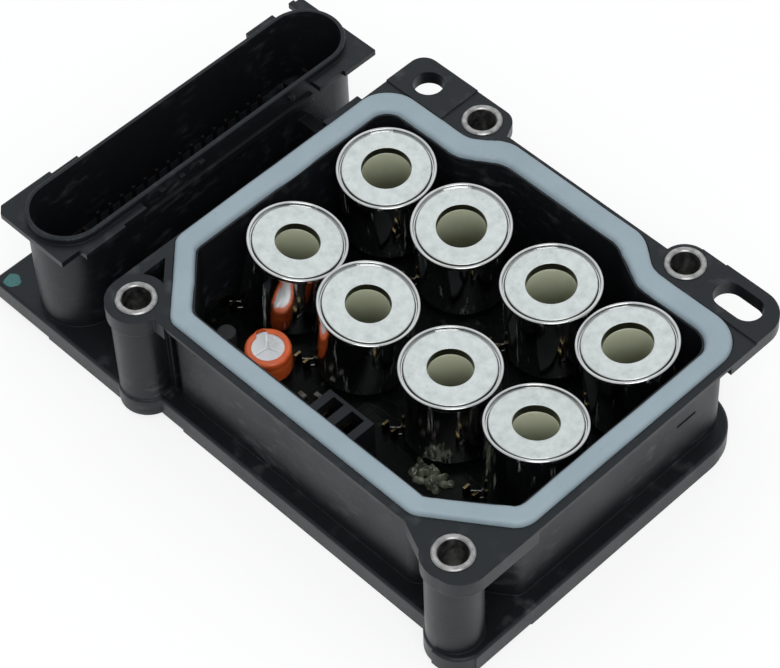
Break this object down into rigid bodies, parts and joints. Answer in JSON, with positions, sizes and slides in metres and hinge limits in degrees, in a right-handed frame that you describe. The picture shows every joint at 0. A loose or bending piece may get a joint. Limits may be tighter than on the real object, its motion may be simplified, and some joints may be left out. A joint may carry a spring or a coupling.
{
  "type": "abs brake control module",
  "caption": "Electronic control module of an anti-lock brake unit: black housing with an open plug socket, grey seal, steel bushes and leaning solenoid coils over a circuit board.",
  "frame": {"origin": "midway between the two front bushes, on the clamping face at their tops", "axes": "+Z out of the clamping face towards the valve block, +X along the coil rows away from the plug socket, +Y to the rear row of bushes"},
  "size_m": [0.1445, 0.0975, 0.035],
  "materials": {
    "housing_plastic": "moulded glass-filled plastic, satin",
    "cover_plastic": "flat moulded lid, satin",
    "seal_rubber": "grey-blue moulded silicone, matt",
    "bush_steel": "zinc-plated, turned ends",
    "coil_can_steel": "bright plated, deep drawn",
    "coil_washer_steel": "zinc-plated, slightly mottled",
    "bobbin_plastic": "cream moulding with a green cast",
    "winding_copper": "enamelled copper wire",
    "board_laminate": "dark green solder mask",
    "capacitor_aluminium": "plain aluminium",
    "capacitor_film": "orange shrunk film",
    "peg_plastic": "black moulding",
    "holder_plastic": "black moulding",
    "contact_brass": "tinned and gold-flashed bronze",
    "lead_tin": "tinned copper wire",
    "chip_plastic": "black moulded package",
    "small_part_ceramic": "ceramic body",
    "sealant": "cured clear sealant",
    "pin_brass": "tinned brass"
  },
  "bodies": {
    "root": {"housing": "housing_plastic", "base_cover": "cover_plastic", "gasket": "seal_rubber", "circuit_board": "board_laminate", "capacitor_can": "capacitor_aluminium", "capacitor_sleeve": "capacitor_film", "board_peg": "peg_plastic", "motor_socket": "holder_plastic", "motor_contacts": "contact_brass", "coil_tabs": "contact_brass", "coil_leads": "lead_tin", "controller_chip": "chip_plastic", "driver_chip": "chip_plastic", "power_transistors": "chip_plastic", "small_parts": "small_part_ceramic", "adhesive_beads": "sealant", "connector_pins": "pin_brass", "front_left_bush": "bush_steel", "front_right_bush": "bush_steel", "rear_left_bush": "bush_steel", "rear_right_bush": "bush_steel", "rear_coil_1_can": "coil_can_steel", "rear_coil_1_washer": "coil_washer_steel", "rear_coil_1_bobbin": "bobbin_plastic", "rear_coil_1_winding": "winding_copper", "rear_coil_2_can": "coil_can_steel", "rear_coil_2_washer": "coil_washer_steel", "rear_coil_2_bobbin": "bobbin_plastic", "rear_coil_2_winding": "winding_copper", "rear_coil_3_can": "coil_can_steel", "rear_coil_3_washer": "coil_washer_steel", "rear_coil_3_bobbin": "bobbin_plastic", "rear_coil_3_winding": "winding_copper", "rear_coil_4_can": "coil_can_steel", "rear_coil_4_washer": "coil_washer_steel", "rear_coil_4_bobbin": "bobbin_plastic", "rear_coil_4_winding": "winding_copper", "front_coil_1_can": "coil_can_steel", "front_coil_1_washer": "coil_washer_steel", "front_coil_1_bobbin": "bobbin_plastic", "front_coil_1_winding": "winding_copper", "front_coil_2_can": "coil_can_steel", "front_coil_2_washer": "coil_washer_steel", "front_coil_2_bobbin": "bobbin_plastic", "front_coil_2_winding": "winding_copper", "front_coil_3_can": "coil_can_steel", "front_coil_3_washer": "coil_washer_steel", "front_coil_3_bobbin": "bobbin_plastic", "front_coil_3_winding": "winding_copper", "front_coil_4_can": "coil_can_steel", "front_coil_4_washer": "coil_washer_steel", "front_coil_4_bobbin": "bobbin_plastic", "front_coil_4_winding": "winding_copper"}
  },
  "joints": []
}
